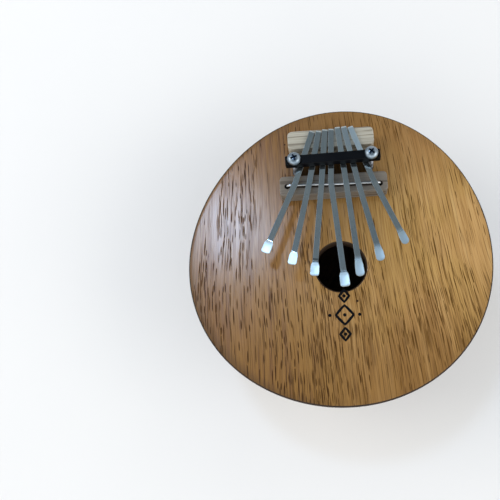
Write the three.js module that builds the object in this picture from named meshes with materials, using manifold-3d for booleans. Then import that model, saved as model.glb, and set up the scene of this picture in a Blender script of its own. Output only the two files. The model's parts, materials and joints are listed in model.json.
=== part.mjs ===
import * as THREE from 'three';
import { mergeVertices } from 'three/addons/utils/BufferGeometryUtils.js';
import Module from 'manifold-3d';

const wasm = await Module();
wasm.setup();

// Millimetres and degrees. +X is the player's right, +Y runs from the player to the bridge, +Z is up.
// The origin is the centre of the flat sanded on the coconut's crown.

const CLEARANCE = 0.3;

// How far a cutting tool runs past the faces that it cuts through.
const OVERRUN = 1;

// Half coconut shell and the board glued on its rim. Both follow one outline,
// a circle with a slight oval and the nut's three ridges.
const OUTLINE_RADIUS = 71.4;
const OVAL = { swell: 0.7, waves: 2, heading: 62 };
const RIDGES = { swell: 1.1, waves: 3, heading: -41 };
const RIM_HEIGHT = 58;
const SHELL_WALL = 4;
const BASE_FLAT_RADIUS = 16;
const BOARD_THICKNESS = 6;
const BOARD_EDGE_ROUND = 0.8;
const BOARD_TOP = RIM_HEIGHT + BOARD_THICKNESS;
const SOUND_HOLE = { x: -1.2, y: -7, radius: 11.7 };

// Bridge, on the board's top. Heights above the board follow from the front saddle up.
const TINE_WIDTH = 2.6;
const TINE_THICKNESS = 1;
const WIRE_DIAMETER = 1.6;
const WIRE = { x: -1.3, y: 30.6, span: 43.6, turn: -2.7, bendRadius: 1.8, legDepth: 5 };
const FRONT_SADDLE = {
  x: -1.2, y: 31.4, turn: -1.8, length: 50.6, width: 9.3, height: 7.8, corner: 1.6, ease: 0.5,
};
const TINE_UNDERSIDE = FRONT_SADDLE.height + CLEARANCE + WIRE_DIAMETER + CLEARANCE;
const REAR_SADDLE_HEIGHT = TINE_UNDERSIDE - CLEARANCE;
const REAR_SADDLE = {
  x: -0.8, y: 53.85, turn: -1, length: 41, width: 8.9, height: REAR_SADDLE_HEIGHT, corner: 2.2, ease: 0.5,
};
const CLAMP_BAR = { x: -0.7, y: 41.5, length: 44.2, width: 4.4, height: 4, corner: 0.7, ease: 0.3 };
const BAR_UNDERSIDE = TINE_UNDERSIDE + TINE_THICKNESS + CLEARANCE;
const BAR_TOP = BAR_UNDERSIDE + CLAMP_BAR.height;

// M3 screws with wide round heads at the bar's ends, through the board and a brace into nuts.
// A head is widest at its shoulder and narrows to its seat below that.
const SCREW_SPACING = 35.8;
const SCREW = { radius: 1.4, length: 30, pointRadius: 1, pointLength: 0.6 };
const HEAD = { radius: 3.3, height: 3.2, seatRadius: 2.6, shoulder: 1.1, crownRadius: 1.2 };
const HEAD_TURNS = [20, 48];
const RECESS = { span: 3.5, width: 0.9, depth: 1.5 };
const SCREW_HOLE_RADIUS = SCREW.radius + CLEARANCE;
const BRACE = { length: 62, width: 14, height: 5, corner: 1.5, ease: 0.5 };
const NUT = { acrossFlats: 5.5, height: 2.4 };

// Tines from the player's left to right. A lean is how far the playing end points to the left.
// Each shank runs from the wire back over the rear saddle, each tongue from the wire to the tip.
const TONGUE_RISE = 5;
const STRIP_CORNER = 0.3;
const STRIP_EASE = 0.15;
const TIP_DROP = 5;
const TIP_THICKNESS = 0.8;
const TIP_CORNER = 1.3;
const FLARE = { before: 1.6, after: 3, ease: 2.6 };
const TINES = [
  { wireX: -19.2, shankLean: 20.9, shank: 27.7, tongueLean: 25.4, tongue: 36.0, tip: 5.5, tipWidth: 4.2 },
  { wireX: -12.6, shankLean: 13.8, shank: 26.8, tongueLean: 15.1, tongue: 40.2, tip: 5.3, tipWidth: 4.0 },
  { wireX: -6.9, shankLean: 7.9, shank: 27.1, tongueLean: 8.4, tongue: 45.1, tip: 5.6, tipWidth: 4.0 },
  { wireX: -2.5, shankLean: 4.7, shank: 27.2, tongueLean: -2.6, tongue: 50.5, tip: 6.3, tipWidth: 4.3 },
  { wireX: 4.5, shankLean: -3.6, shank: 28.2, tongueLean: -2.9, tongue: 46.0, tip: 7.3, tipWidth: 3.9 },
  { wireX: 10.0, shankLean: -8.5, shank: 28.8, tongueLean: -9.7, tongue: 39.9, tip: 6.5, tipWidth: 3.9 },
  { wireX: 17.4, shankLean: -16.7, shank: 29.8, tongueLean: -19.6, tongue: 34.0, tip: 6.5, tipWidth: 3.6 },
];

// How many flat facets stand in for each curve.
const FACETS = {
  bore: 20, soundHole: 36, outline: 96, bowlAround: 60, bowlUp: 12,
  edgeRound: 2, corner: 3, tipCorner: 4, wireRound: 6, wireAlong: 56, headAround: 24, headUp: 5,
};

const radians = THREE.MathUtils.degToRad;

// Solids and booleans

function manifoldOf(geometry) {
  const bare = geometry.clone();
  bare.deleteAttribute('normal');
  bare.deleteAttribute('uv');
  const merged = mergeVertices(bare);
  const mesh = new wasm.Mesh({
    numProp: 3,
    vertProperties: new Float32Array(merged.attributes.position.array),
    triVerts: new Uint32Array(merged.index.array),
  });
  return new wasm.Manifold(mesh);
}

function geometryOf(manifold) {
  const mesh = manifold.getMesh();
  const geometry = new THREE.BufferGeometry();
  geometry.setAttribute('position', new THREE.BufferAttribute(new Float32Array(mesh.vertProperties), 3));
  geometry.setIndex(new THREE.BufferAttribute(new Uint32Array(mesh.triVerts), 1));
  const flat = geometry.toNonIndexed();
  flat.computeVertexNormals();
  return flat;
}

function cut(geometry, tools) {
  let body = manifoldOf(geometry);
  for (const tool of tools) {
    body = body.subtract(manifoldOf(tool));
  }
  return geometryOf(body);
}

function common(first, second) {
  return geometryOf(manifoldOf(first).intersect(manifoldOf(second)));
}

function uprightCylinder(radius, bottom, top, spot, sides = FACETS.bore) {
  const cylinder = new THREE.CylinderGeometry(radius, radius, top - bottom, sides);
  cylinder.rotateX(Math.PI / 2);
  cylinder.translate(spot.x, spot.y, (bottom + top) / 2);
  return cylinder;
}

// A rectangular block with rounded upright corners and eased top and bottom edges,
// centred on X and Y and standing on Z = 0.
function easedBlock({ length, width, height, corner, ease }) {
  const x = length / 2;
  const y = width / 2;
  const shape = new THREE.Shape();
  shape.moveTo(-x + corner, -y);
  shape.lineTo(x - corner, -y);
  shape.absarc(x - corner, -y + corner, corner, -Math.PI / 2, 0);
  shape.absarc(x - corner, y - corner, corner, 0, Math.PI / 2);
  shape.absarc(-x + corner, y - corner, corner, Math.PI / 2, Math.PI);
  shape.absarc(-x + corner, -y + corner, corner, Math.PI, Math.PI * 1.5);
  const block = new THREE.ExtrudeGeometry(shape, {
    depth: height - 2 * ease,
    bevelThickness: ease,
    bevelSize: ease,
    bevelOffset: -ease,
    bevelSegments: 1,
    curveSegments: FACETS.corner,
  });
  block.translate(0, 0, ease);
  return block;
}

// Scene graph

const mbira = new THREE.Group();
const deck = new THREE.Group();
deck.position.z = BOARD_TOP;
mbira.add(deck);

function addPart(parent, name, geometry, finish) {
  const mesh = new THREE.Mesh(geometry, new THREE.MeshStandardMaterial(finish));
  mesh.name = name;
  parent.add(mesh);
  return mesh;
}

function place(object, spot, turn = 0) {
  object.position.x = spot.x;
  object.position.y = spot.y;
  object.rotation.z = radians(turn);
}

const COCONUT = { color: 0x4a2c1a, roughness: 0.4, metalness: 0 };
const BOARD_WOOD = { color: 0x8c6e47, roughness: 0.35, metalness: 0 };
const PALE_WOOD = { color: 0xa6a69c, roughness: 0.6, metalness: 0 };
const GREY_WOOD = { color: 0x85796e, roughness: 0.6, metalness: 0 };
const BRACE_WOOD = { color: 0x9a7b52, roughness: 0.7, metalness: 0 };
const SPRING_STEEL = { color: 0x707c86, roughness: 0.35, metalness: 1 };
const BRIGHT_STEEL = { color: 0xd0d2d4, roughness: 0.2, metalness: 1 };
const ZINC = { color: 0xb9c6d2, roughness: 0.3, metalness: 1 };
const BLACK_STEEL = { color: 0x14151a, roughness: 0.4, metalness: 0.6 };

// Coconut shell and soundboard

function outlineScale(angle) {
  let radius = OUTLINE_RADIUS;
  for (const wave of [OVAL, RIDGES]) {
    radius += wave.swell * Math.cos(wave.waves * (angle - radians(wave.heading)));
  }
  return radius / OUTLINE_RADIUS;
}

// Half of the bowl's section: out along the flat, up the outside, over the rim, down the inside.
function shellProfile() {
  const flatAngle = Math.asin(BASE_FLAT_RADIUS / OUTLINE_RADIUS);
  const bowlDepth = RIM_HEIGHT / Math.cos(flatAngle);
  const steps = FACETS.bowlUp;
  const points = [new THREE.Vector2(0, 0)];
  for (let i = 0; i <= steps; i++) {
    const angle = THREE.MathUtils.lerp(flatAngle, Math.PI / 2, i / steps);
    const height = RIM_HEIGHT - bowlDepth * Math.cos(angle);
    points.push(new THREE.Vector2(OUTLINE_RADIUS * Math.sin(angle), i === 0 ? 0 : height));
  }
  for (let i = 0; i <= steps; i++) {
    const angle = Math.PI / 2 * (1 - i / steps);
    const radius = (OUTLINE_RADIUS - SHELL_WALL) * Math.sin(angle);
    const height = RIM_HEIGHT - (bowlDepth - SHELL_WALL) * Math.cos(angle);
    points.push(new THREE.Vector2(i === steps ? 0 : radius, height));
  }
  return points;
}

function coconutShell() {
  const bowl = new THREE.LatheGeometry(shellProfile(), FACETS.bowlAround);
  bowl.rotateX(Math.PI / 2);
  const position = bowl.attributes.position;
  for (let i = 0; i < position.count; i++) {
    const scale = outlineScale(Math.atan2(position.getY(i), position.getX(i)));
    position.setX(i, position.getX(i) * scale);
    position.setY(i, position.getY(i) * scale);
  }
  return geometryOf(manifoldOf(bowl));
}

function soundboard() {
  const steps = FACETS.outline;
  const points = [];
  for (let i = 0; i < steps; i++) {
    const angle = i / steps * Math.PI * 2;
    const radius = OUTLINE_RADIUS * outlineScale(angle);
    points.push(new THREE.Vector2(radius * Math.cos(angle), radius * Math.sin(angle)));
  }
  const shape = new THREE.Shape(points);
  const hole = new THREE.Path();
  hole.absarc(SOUND_HOLE.x, SOUND_HOLE.y, SOUND_HOLE.radius, 0, Math.PI * 2, true);
  shape.holes.push(hole);
  const board = new THREE.ExtrudeGeometry(shape, {
    depth: BOARD_THICKNESS - 2 * BOARD_EDGE_ROUND,
    bevelThickness: BOARD_EDGE_ROUND,
    bevelSize: BOARD_EDGE_ROUND,
    bevelOffset: -BOARD_EDGE_ROUND,
    bevelSegments: FACETS.edgeRound,
    curveSegments: FACETS.soundHole,
  });
  board.translate(0, 0, BOARD_EDGE_ROUND);
  return cut(board, screwHoles(BOARD_THICKNESS));
}

// Screw places are measured from the middle of the board or the bar that they pass through.
function screwPlaces() {
  return [-1, 1].map((side) => ({ x: CLAMP_BAR.x + side * SCREW_SPACING / 2, y: CLAMP_BAR.y }));
}

function screwHoles(thickness, middle = { x: 0, y: 0 }) {
  return screwPlaces().map((centre) => {
    const spot = { x: centre.x - middle.x, y: centre.y - middle.y };
    return uprightCylinder(SCREW_HOLE_RADIUS, -OVERRUN, thickness + OVERRUN, spot);
  });
}

addPart(mbira, 'coconut_shell', coconutShell(), COCONUT);
addPart(mbira, 'soundboard', soundboard(), BOARD_WOOD).position.z = RIM_HEIGHT;

// Saddles, bridge wire and clamp bar

// The wire's legs drop into two sockets bored in the front saddle.
function frontSaddle() {
  const socketRadius = WIRE_DIAMETER / 2 + 2 * CLEARANCE;
  const socketBottom = FRONT_SADDLE.height - WIRE.legDepth - CLEARANCE;
  const turn = radians(WIRE.turn);
  const backTurn = radians(-FRONT_SADDLE.turn);
  const sockets = [-1, 1].map((side) => {
    const x = WIRE.x + side * WIRE.span / 2 * Math.cos(turn) - FRONT_SADDLE.x;
    const y = WIRE.y + side * WIRE.span / 2 * Math.sin(turn) - FRONT_SADDLE.y;
    const spot = new THREE.Vector2(x, y).rotateAround(new THREE.Vector2(), backTurn);
    return uprightCylinder(socketRadius, socketBottom, FRONT_SADDLE.height + OVERRUN, spot);
  });
  return cut(easedBlock(FRONT_SADDLE), sockets);
}

// A staple: a straight crown and two legs, joined by rounded bends.
function saddleWire() {
  const reach = WIRE.span / 2;
  const bend = WIRE.bendRadius;
  const legEnd = -WIRE_DIAMETER / 2 - CLEARANCE - WIRE.legDepth;
  const point = (x, z) => new THREE.Vector3(x, 0, z);
  const path = new THREE.CurvePath();
  path.add(new THREE.LineCurve3(point(-reach, legEnd), point(-reach, -bend)));
  path.add(new THREE.QuadraticBezierCurve3(point(-reach, -bend), point(-reach, 0), point(bend - reach, 0)));
  path.add(new THREE.LineCurve3(point(bend - reach, 0), point(reach - bend, 0)));
  path.add(new THREE.QuadraticBezierCurve3(point(reach - bend, 0), point(reach, 0), point(reach, -bend)));
  path.add(new THREE.LineCurve3(point(reach, -bend), point(reach, legEnd)));
  const section = new THREE.Shape();
  section.absarc(0, 0, WIRE_DIAMETER / 2, 0, Math.PI * 2);
  return new THREE.ExtrudeGeometry(section, {
    steps: FACETS.wireAlong,
    extrudePath: path,
    curveSegments: FACETS.wireRound,
  });
}

// A block centred over the clamp bar's middle, bored for both screws.
function boredBlock(block) {
  return cut(easedBlock(block), screwHoles(block.height, CLAMP_BAR));
}

place(addPart(deck, 'rear_saddle', easedBlock(REAR_SADDLE), PALE_WOOD), REAR_SADDLE, REAR_SADDLE.turn);
place(addPart(deck, 'front_saddle', frontSaddle(), GREY_WOOD), FRONT_SADDLE, FRONT_SADDLE.turn);

const wire = addPart(deck, 'saddle_wire', saddleWire(), BRIGHT_STEEL);
place(wire, WIRE, WIRE.turn);
wire.position.z = FRONT_SADDLE.height + CLEARANCE + WIRE_DIAMETER / 2;

const bar = addPart(deck, 'clamp_bar', boredBlock(CLAMP_BAR), BLACK_STEEL);
place(bar, CLAMP_BAR);
bar.position.z = BAR_UNDERSIDE;

// Screws, brace and nuts

// A screw standing on its point, with Z = 0 at the underside of the head.
function screw() {
  const profile = new THREE.Path();
  profile.moveTo(0, -SCREW.length);
  profile.lineTo(SCREW.pointRadius, -SCREW.length);
  profile.lineTo(SCREW.radius, SCREW.pointLength - SCREW.length);
  profile.lineTo(SCREW.radius, 0);
  profile.lineTo(HEAD.seatRadius, 0);
  profile.quadraticCurveTo(HEAD.radius, 0, HEAD.radius, HEAD.shoulder);
  profile.quadraticCurveTo(HEAD.radius, HEAD.height, HEAD.crownRadius, HEAD.height);
  profile.lineTo(0, HEAD.height);
  const body = new THREE.LatheGeometry(profile.getPoints(FACETS.headUp), FACETS.headAround);
  body.rotateX(Math.PI / 2);
  const slots = [[RECESS.span, RECESS.width], [RECESS.width, RECESS.span]].map(([x, y]) => {
    const slot = new THREE.BoxGeometry(x, y, 2 * RECESS.depth);
    slot.translate(0, 0, HEAD.height);
    return slot;
  });
  return cut(body, slots);
}

function nut() {
  const middle = { x: 0, y: 0 };
  const blank = uprightCylinder(NUT.acrossFlats / Math.sqrt(3), 0, NUT.height, middle, 6);
  return cut(blank, [uprightCylinder(SCREW_HOLE_RADIUS, -OVERRUN, NUT.height + OVERRUN, middle)]);
}

const bridgeBrace = addPart(mbira, 'bridge_brace', boredBlock(BRACE), BRACE_WOOD);
place(bridgeBrace, CLAMP_BAR);
bridgeBrace.position.z = RIM_HEIGHT - BRACE.height;

screwPlaces().forEach((spot, index) => {
  const side = ['left', 'right'][index];
  const pan = addPart(deck, `screw_${side}`, screw(), ZINC);
  place(pan, spot, HEAD_TURNS[index]);
  pan.position.z = BAR_TOP;
  const hex = addPart(mbira, `nut_${side}`, nut(), ZINC);
  place(hex, spot);
  hex.position.z = RIM_HEIGHT - BRACE.height - NUT.height;
});

// Tines

// The point on the wire's line at a given X, where a tine crosses it.
function wireCrossing(x) {
  return { x, y: WIRE.y + (x - WIRE.x) * Math.tan(radians(WIRE.turn)) };
}

function tineShank(tine) {
  const length = tine.shank - CLEARANCE / 2;
  const strip = easedBlock({
    length: TINE_WIDTH,
    width: length,
    height: TINE_THICKNESS,
    corner: STRIP_CORNER,
    ease: STRIP_EASE,
  });
  strip.translate(0, CLEARANCE / 2 + length / 2, 0);
  return strip;
}

// The tongue seen from above: a straight strip that flares into a round-cornered tip.
function tonguePlan(tine) {
  const half = TINE_WIDTH / 2;
  const tipHalf = tine.tipWidth / 2;
  const end = -tine.tongue;
  const narrow = end + tine.tip + FLARE.before;
  const wide = end + tine.tip - FLARE.after;
  const shape = new THREE.Shape();
  shape.moveTo(half, -CLEARANCE / 2);
  shape.lineTo(-half, -CLEARANCE / 2);
  shape.lineTo(-half, narrow);
  shape.bezierCurveTo(-half, narrow - FLARE.ease, -tipHalf, wide + FLARE.ease, -tipHalf, wide);
  shape.lineTo(-tipHalf, end + TIP_CORNER);
  shape.quadraticCurveTo(-tipHalf, end, TIP_CORNER - tipHalf, end);
  shape.lineTo(tipHalf - TIP_CORNER, end);
  shape.quadraticCurveTo(tipHalf, end, tipHalf, end + TIP_CORNER);
  shape.lineTo(tipHalf, wide);
  shape.bezierCurveTo(tipHalf, wide + FLARE.ease, half, narrow - FLARE.ease, half, narrow);
  const plan = new THREE.ExtrudeGeometry(shape, {
    depth: tine.tongue,
    bevelEnabled: false,
    curveSegments: FACETS.tipCorner,
  });
  plan.translate(0, 0, -tine.tongue / 2);
  return plan;
}

// The tongue seen from the side: it rises from the wire, then the thinner tip bends down.
function tongueSide(tine) {
  const rise = radians(TONGUE_RISE);
  const tipRise = radians(TONGUE_RISE - TIP_DROP);
  const bendX = (tine.tongue - tine.tip) * Math.cos(rise);
  const bendZ = (tine.tongue - tine.tip) * Math.sin(rise);
  const endX = bendX + (tine.tip + OVERRUN) * Math.cos(tipRise);
  const endZ = bendZ + (tine.tip + OVERRUN) * Math.sin(tipRise);
  const shape = new THREE.Shape();
  shape.moveTo(0, 0);
  shape.lineTo(bendX, bendZ);
  shape.lineTo(endX, endZ);
  shape.lineTo(endX, endZ + TIP_THICKNESS);
  shape.lineTo(bendX, bendZ + TINE_THICKNESS);
  shape.lineTo(0, TINE_THICKNESS);
  const slab = new THREE.ExtrudeGeometry(shape, { depth: 2 * tine.tipWidth, bevelEnabled: false });
  slab.translate(0, 0, -tine.tipWidth);
  slab.rotateX(Math.PI / 2);
  slab.rotateZ(-Math.PI / 2);
  return slab;
}

TINES.forEach((tine, index) => {
  const name = `tine_${index + 1}`;
  const crossing = wireCrossing(tine.wireX);
  const parts = [
    [`${name}_shank`, tineShank(tine), tine.shankLean],
    [`${name}_tongue`, common(tongueSide(tine), tonguePlan(tine)), tine.tongueLean],
  ];
  for (const [partName, geometry, lean] of parts) {
    const part = addPart(deck, partName, geometry, SPRING_STEEL);
    place(part, crossing, -lean);
    part.position.z = TINE_UNDERSIDE;
  }
});

export default mbira;
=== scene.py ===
"""Looks for the mbira: a thumb piano with seven steel tines on a lacquered board over a half coconut."""
import json
import math
from collections import namedtuple

import bmesh
import bpy
import numpy as np
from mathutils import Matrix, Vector, noise


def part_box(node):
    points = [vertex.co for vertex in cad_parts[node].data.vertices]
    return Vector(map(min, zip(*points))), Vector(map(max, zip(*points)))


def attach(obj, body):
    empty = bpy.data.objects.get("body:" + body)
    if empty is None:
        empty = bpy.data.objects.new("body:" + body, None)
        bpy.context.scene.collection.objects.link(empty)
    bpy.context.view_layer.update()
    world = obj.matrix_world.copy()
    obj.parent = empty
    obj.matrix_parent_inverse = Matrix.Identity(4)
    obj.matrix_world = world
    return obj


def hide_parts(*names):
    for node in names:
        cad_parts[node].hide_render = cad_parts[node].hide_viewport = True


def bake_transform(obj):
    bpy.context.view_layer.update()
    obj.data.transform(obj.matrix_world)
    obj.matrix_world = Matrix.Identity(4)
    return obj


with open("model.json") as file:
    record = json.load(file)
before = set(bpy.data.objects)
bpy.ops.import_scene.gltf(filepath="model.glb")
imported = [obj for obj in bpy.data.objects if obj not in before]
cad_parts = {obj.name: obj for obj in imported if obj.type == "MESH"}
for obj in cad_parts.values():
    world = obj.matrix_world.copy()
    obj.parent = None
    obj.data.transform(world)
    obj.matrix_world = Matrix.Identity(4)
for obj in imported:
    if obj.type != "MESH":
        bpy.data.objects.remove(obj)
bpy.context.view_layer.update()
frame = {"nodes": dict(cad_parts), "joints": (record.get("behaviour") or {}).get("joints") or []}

MM = 0.001
ROOT = "instrument"
UP = Vector((0, 0, 1))
TURN = 2 * math.pi
SHARP_EDGE = math.radians(35)


# Reading the frame

def points_of(node):
    """The CAD node's vertices in metres, as an array."""
    return np.array([vertex.co for vertex in frame["nodes"][node].data.vertices], float)


def foot_of(node):
    """The CAD node's lowest vertices."""
    points = points_of(node)
    return points[points[:, 2] < points[:, 2].min() + 0.01 * MM]


def centre_of(node):
    low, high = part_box(node)
    return (low + high) / 2


# The outline's swells, by how many go round the board.
WAVES = (1, 2, 3)


def outline_waves():
    """The soundboard's outline as a function: its radius at an angle, from its mean and its swells."""
    points = points_of("soundboard")
    low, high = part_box("soundboard")
    middle = (low.z + high.z) / 2
    radius = np.hypot(points[:, 0], points[:, 1])
    wall = (radius > 0.9 * radius.max()) & (abs(points[:, 2] - middle) < 0.8 * (high.z - middle))
    angle = np.arctan2(points[wall, 1], points[wall, 0])
    terms = [np.ones_like(angle)]
    for wave in WAVES:
        terms += [np.cos(wave * angle), np.sin(wave * angle)]
    weights = np.linalg.lstsq(np.array(terms).T, radius[wall], rcond=None)[0]

    def radius_at(at):
        total = weights[0]
        for wave in WAVES:
            total += weights[2 * wave - 1] * math.cos(wave * at) + weights[2 * wave] * math.sin(wave * at)
        return total

    return radius_at


def bar_frame(node):
    """Centre, long direction, length and width of an upright block seen from above."""
    foot = foot_of(node)[:, :2]
    middle = (foot.min(0) + foot.max(0)) / 2
    vectors = np.linalg.eigh(np.cov((foot - foot.mean(0)).T))[1]
    along = vectors[:, 1] * (1 if vectors[0, 1] > 0 else -1)
    across = np.array((-along[1], along[0]))
    flank = points_of(node)[:, :2] - middle
    length = 2 * abs(flank @ along).max()
    width = 2 * abs(flank @ across).max()
    return Vector((*middle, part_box(node)[0].z)), Vector((*along, 0)), length, width


RADIUS_AT = outline_waves()
BOARD_LOW, BOARD_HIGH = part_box("soundboard")
DECK = BOARD_HIGH.z


# Mesh helpers

def smooth(low, high, value):
    """Smoothly from 0 to 1 as the value goes from low to high."""
    share = min(1.0, max(0.0, (value - low) / (high - low)))
    return share * share * (3 - 2 * share)


def placed(name, data):
    """A new object in the scene."""
    item = bpy.data.objects.new(name, data)
    bpy.context.scene.collection.objects.link(item)
    return item


def new_object(name, vertices, faces, material):
    """A mesh object whose faces all point outwards. Its many-sided ends are split into triangles."""
    mesh = bpy.data.meshes.new(name)
    mesh.from_pydata([tuple(v) for v in vertices], [], faces)
    mesh.update()
    mesh.materials.append(material)
    work = bmesh.new()
    work.from_mesh(mesh)
    bmesh.ops.triangulate(work, faces=[face for face in work.faces if len(face.verts) > 4])
    bmesh.ops.recalc_face_normals(work, faces=work.faces)
    work.to_mesh(mesh)
    work.free()
    return placed(name, mesh)


def new_piece(name, vertices, faces, material, body=ROOT, soft=True):
    """A mesh object, smooth shaded if soft, that rides on a body unless body is None."""
    piece = new_object(name, vertices, faces, material)
    for polygon in piece.data.polygons:
        polygon.use_smooth = soft
    if body:
        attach(piece, body)
    return piece


def turns_round(count):
    """Equal turns once round, in radians."""
    return [TURN * i / count for i in range(count)]


def heading(turn):
    """The level direction at a turn from X."""
    return Vector((math.cos(turn), math.sin(turn), 0))


def skin(rings, gaps):
    """Vertices and faces between rings of equal length. The last possible gap leads back to the start."""
    count = len(rings[0])
    vertices = [point for ring in rings for point in ring]
    faces = []
    for row in range(gaps):
        for column in range(count):
            after = (column + 1) % count
            a, b = row * count, (row + 1) % len(rings) * count
            faces.append((a + column, a + after, b + after, b + column))
    return vertices, faces


def loft(rings):
    """Vertices and faces of a closed skin over rings of equal length, with flat ends."""
    vertices, faces = skin(rings, len(rings) - 1)
    count, total = len(rings[0]), len(vertices)
    faces.append(tuple(range(count - 1, -1, -1)))
    faces.append(tuple(range(total - count, total)))
    return vertices, faces


def ring_torus(rings):
    """Like loft, but the last ring joins the first, for a solid with a hole through it."""
    return skin(rings, len(rings))


def circle(radius, count, centre, across=Vector((1, 0, 0)), along=Vector((0, 1, 0))):
    points = []
    for turn in turns_round(count):
        points.append(centre + across * (radius * math.cos(turn)) + along * (radius * math.sin(turn)))
    return points


def lathe(profile, count, centre):
    """A turned solid from (radius, height) pairs that start and end close to the axis."""
    base = Vector(centre)
    rings = [circle(radius, count, base + UP * height) for radius, height in profile]
    return loft(rings)


def carve(piece, tool_meshes, lining=None):
    """Cuts tools, given as (vertices, faces), out of a piece. The cut faces take the lining material."""
    tools = [new_object("tool", *mesh, lining or piece.data.materials[0]) for mesh in tool_meshes]
    for tool in tools:
        cutter = piece.modifiers.new("cut", "BOOLEAN")
        cutter.operation = "DIFFERENCE"
        cutter.solver = "EXACT"
        cutter.material_mode = "TRANSFER"
        cutter.object = tool
    graph = bpy.context.evaluated_depsgraph_get()
    carved = bpy.data.meshes.new_from_object(piece.evaluated_get(graph))
    piece.modifiers.clear()
    piece.data = carved
    for tool in tools:
        bpy.data.objects.remove(tool)


def shade_by_angle(piece):
    """Smooth shading, except across sharp edges."""
    for polygon in piece.data.polygons:
        polygon.use_smooth = True
    piece.data.set_sharp_from_angle(angle=SHARP_EDGE)


def screw_holes(radius, low, high):
    """Tools for the two holes that the clamp screws pass through, between two heights."""
    tools = []
    for side in ("left", "right"):
        spot = centre_of(f"screw_{side}")
        tools.append(lathe([(radius, low), (radius, high)], 32, (spot.x, spot.y, 0)))
    return tools


def sand(piece, depth, size, seed):
    """Hand-made unevenness: moves the surface along its normals by smooth noise."""
    offset = Vector((seed * 17.3, seed * 5.1, seed * 9.7))
    normals = [vertex.normal.copy() for vertex in piece.data.vertices]
    for vertex, normal in zip(piece.data.vertices, normals):
        vertex.co += normal * depth * noise.noise(vertex.co / size + offset)
    piece.data.update()


def rounded_rectangle(length, width, corner, step):
    """Points round a rectangle with round corners, anticlockwise, about step apart on the sides."""
    x, y = length / 2 - corner, width / 2 - corner
    corners = [(x, -y, -90), (x, y, 0), (-x, y, 90), (-x, -y, 180)]
    points = []
    for index, (cx, cy, start) in enumerate(corners):
        for i in range(7):
            turn = math.radians(start + 15 * i)
            points.append((cx + corner * math.cos(turn), cy + corner * math.sin(turn)))
        nx, ny, next_start = corners[(index + 1) % 4]
        turn = math.radians(next_start)
        target = (nx + corner * math.cos(turn), ny + corner * math.sin(turn))
        last = points[-1]
        count = max(1, round(math.dist(last, target) / step))
        for i in range(1, count):
            share = i / count
            points.append((last[0] + (target[0] - last[0]) * share, last[1] + (target[1] - last[1]) * share))
    return points


def eased_block(node, material, corner, ease, uneven, seed):
    """A block with round upright corners and eased edges, where a CAD block lies."""
    foot, along, length, width = bar_frame(node)
    across = UP.cross(along)
    low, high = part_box(node)
    height = high.z - low.z
    outline = rounded_rectangle(length, width, corner, 1.2 * MM)
    turns = [math.radians(22.5 * i) for i in range(5)]
    # Each level is (inset, height). The upper half mirrors the lower.
    lower = [(share * width / 2, 0) for share in (0.94, 0.7, 0.45, 0.25, 0.12)]
    lower += [(ease * (1 - math.sin(turn)), ease * (1 - math.cos(turn))) for turn in turns]
    levels = lower + [(0, ease + (height - 2 * ease) * share) for share in (0.25, 0.5, 0.75)]
    levels += [(inset, height - level) for inset, level in reversed(lower)]
    rings = []
    for inset, level in levels:
        fit_x = (length / 2 - inset) / (length / 2)
        fit_y = (width / 2 - inset) / (width / 2)
        rings.append([foot + along * (x * fit_x) + across * (y * fit_y) + UP * level for x, y in outline])
    piece = new_piece(f"{node}_visual", *loft(rings), material)
    sand(piece, uneven, 6 * MM, seed)
    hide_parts(node)
    return piece


# Materials

def linear(red, green, blue):
    """An 8-bit sRGB colour as the linear RGBA that shaders take."""
    channels = []
    for value in (red, green, blue):
        share = value / 255
        channels.append(share / 12.92 if share <= 0.04045 else ((share + 0.055) / 1.055) ** 2.4)
    return (*channels, 1)


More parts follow.
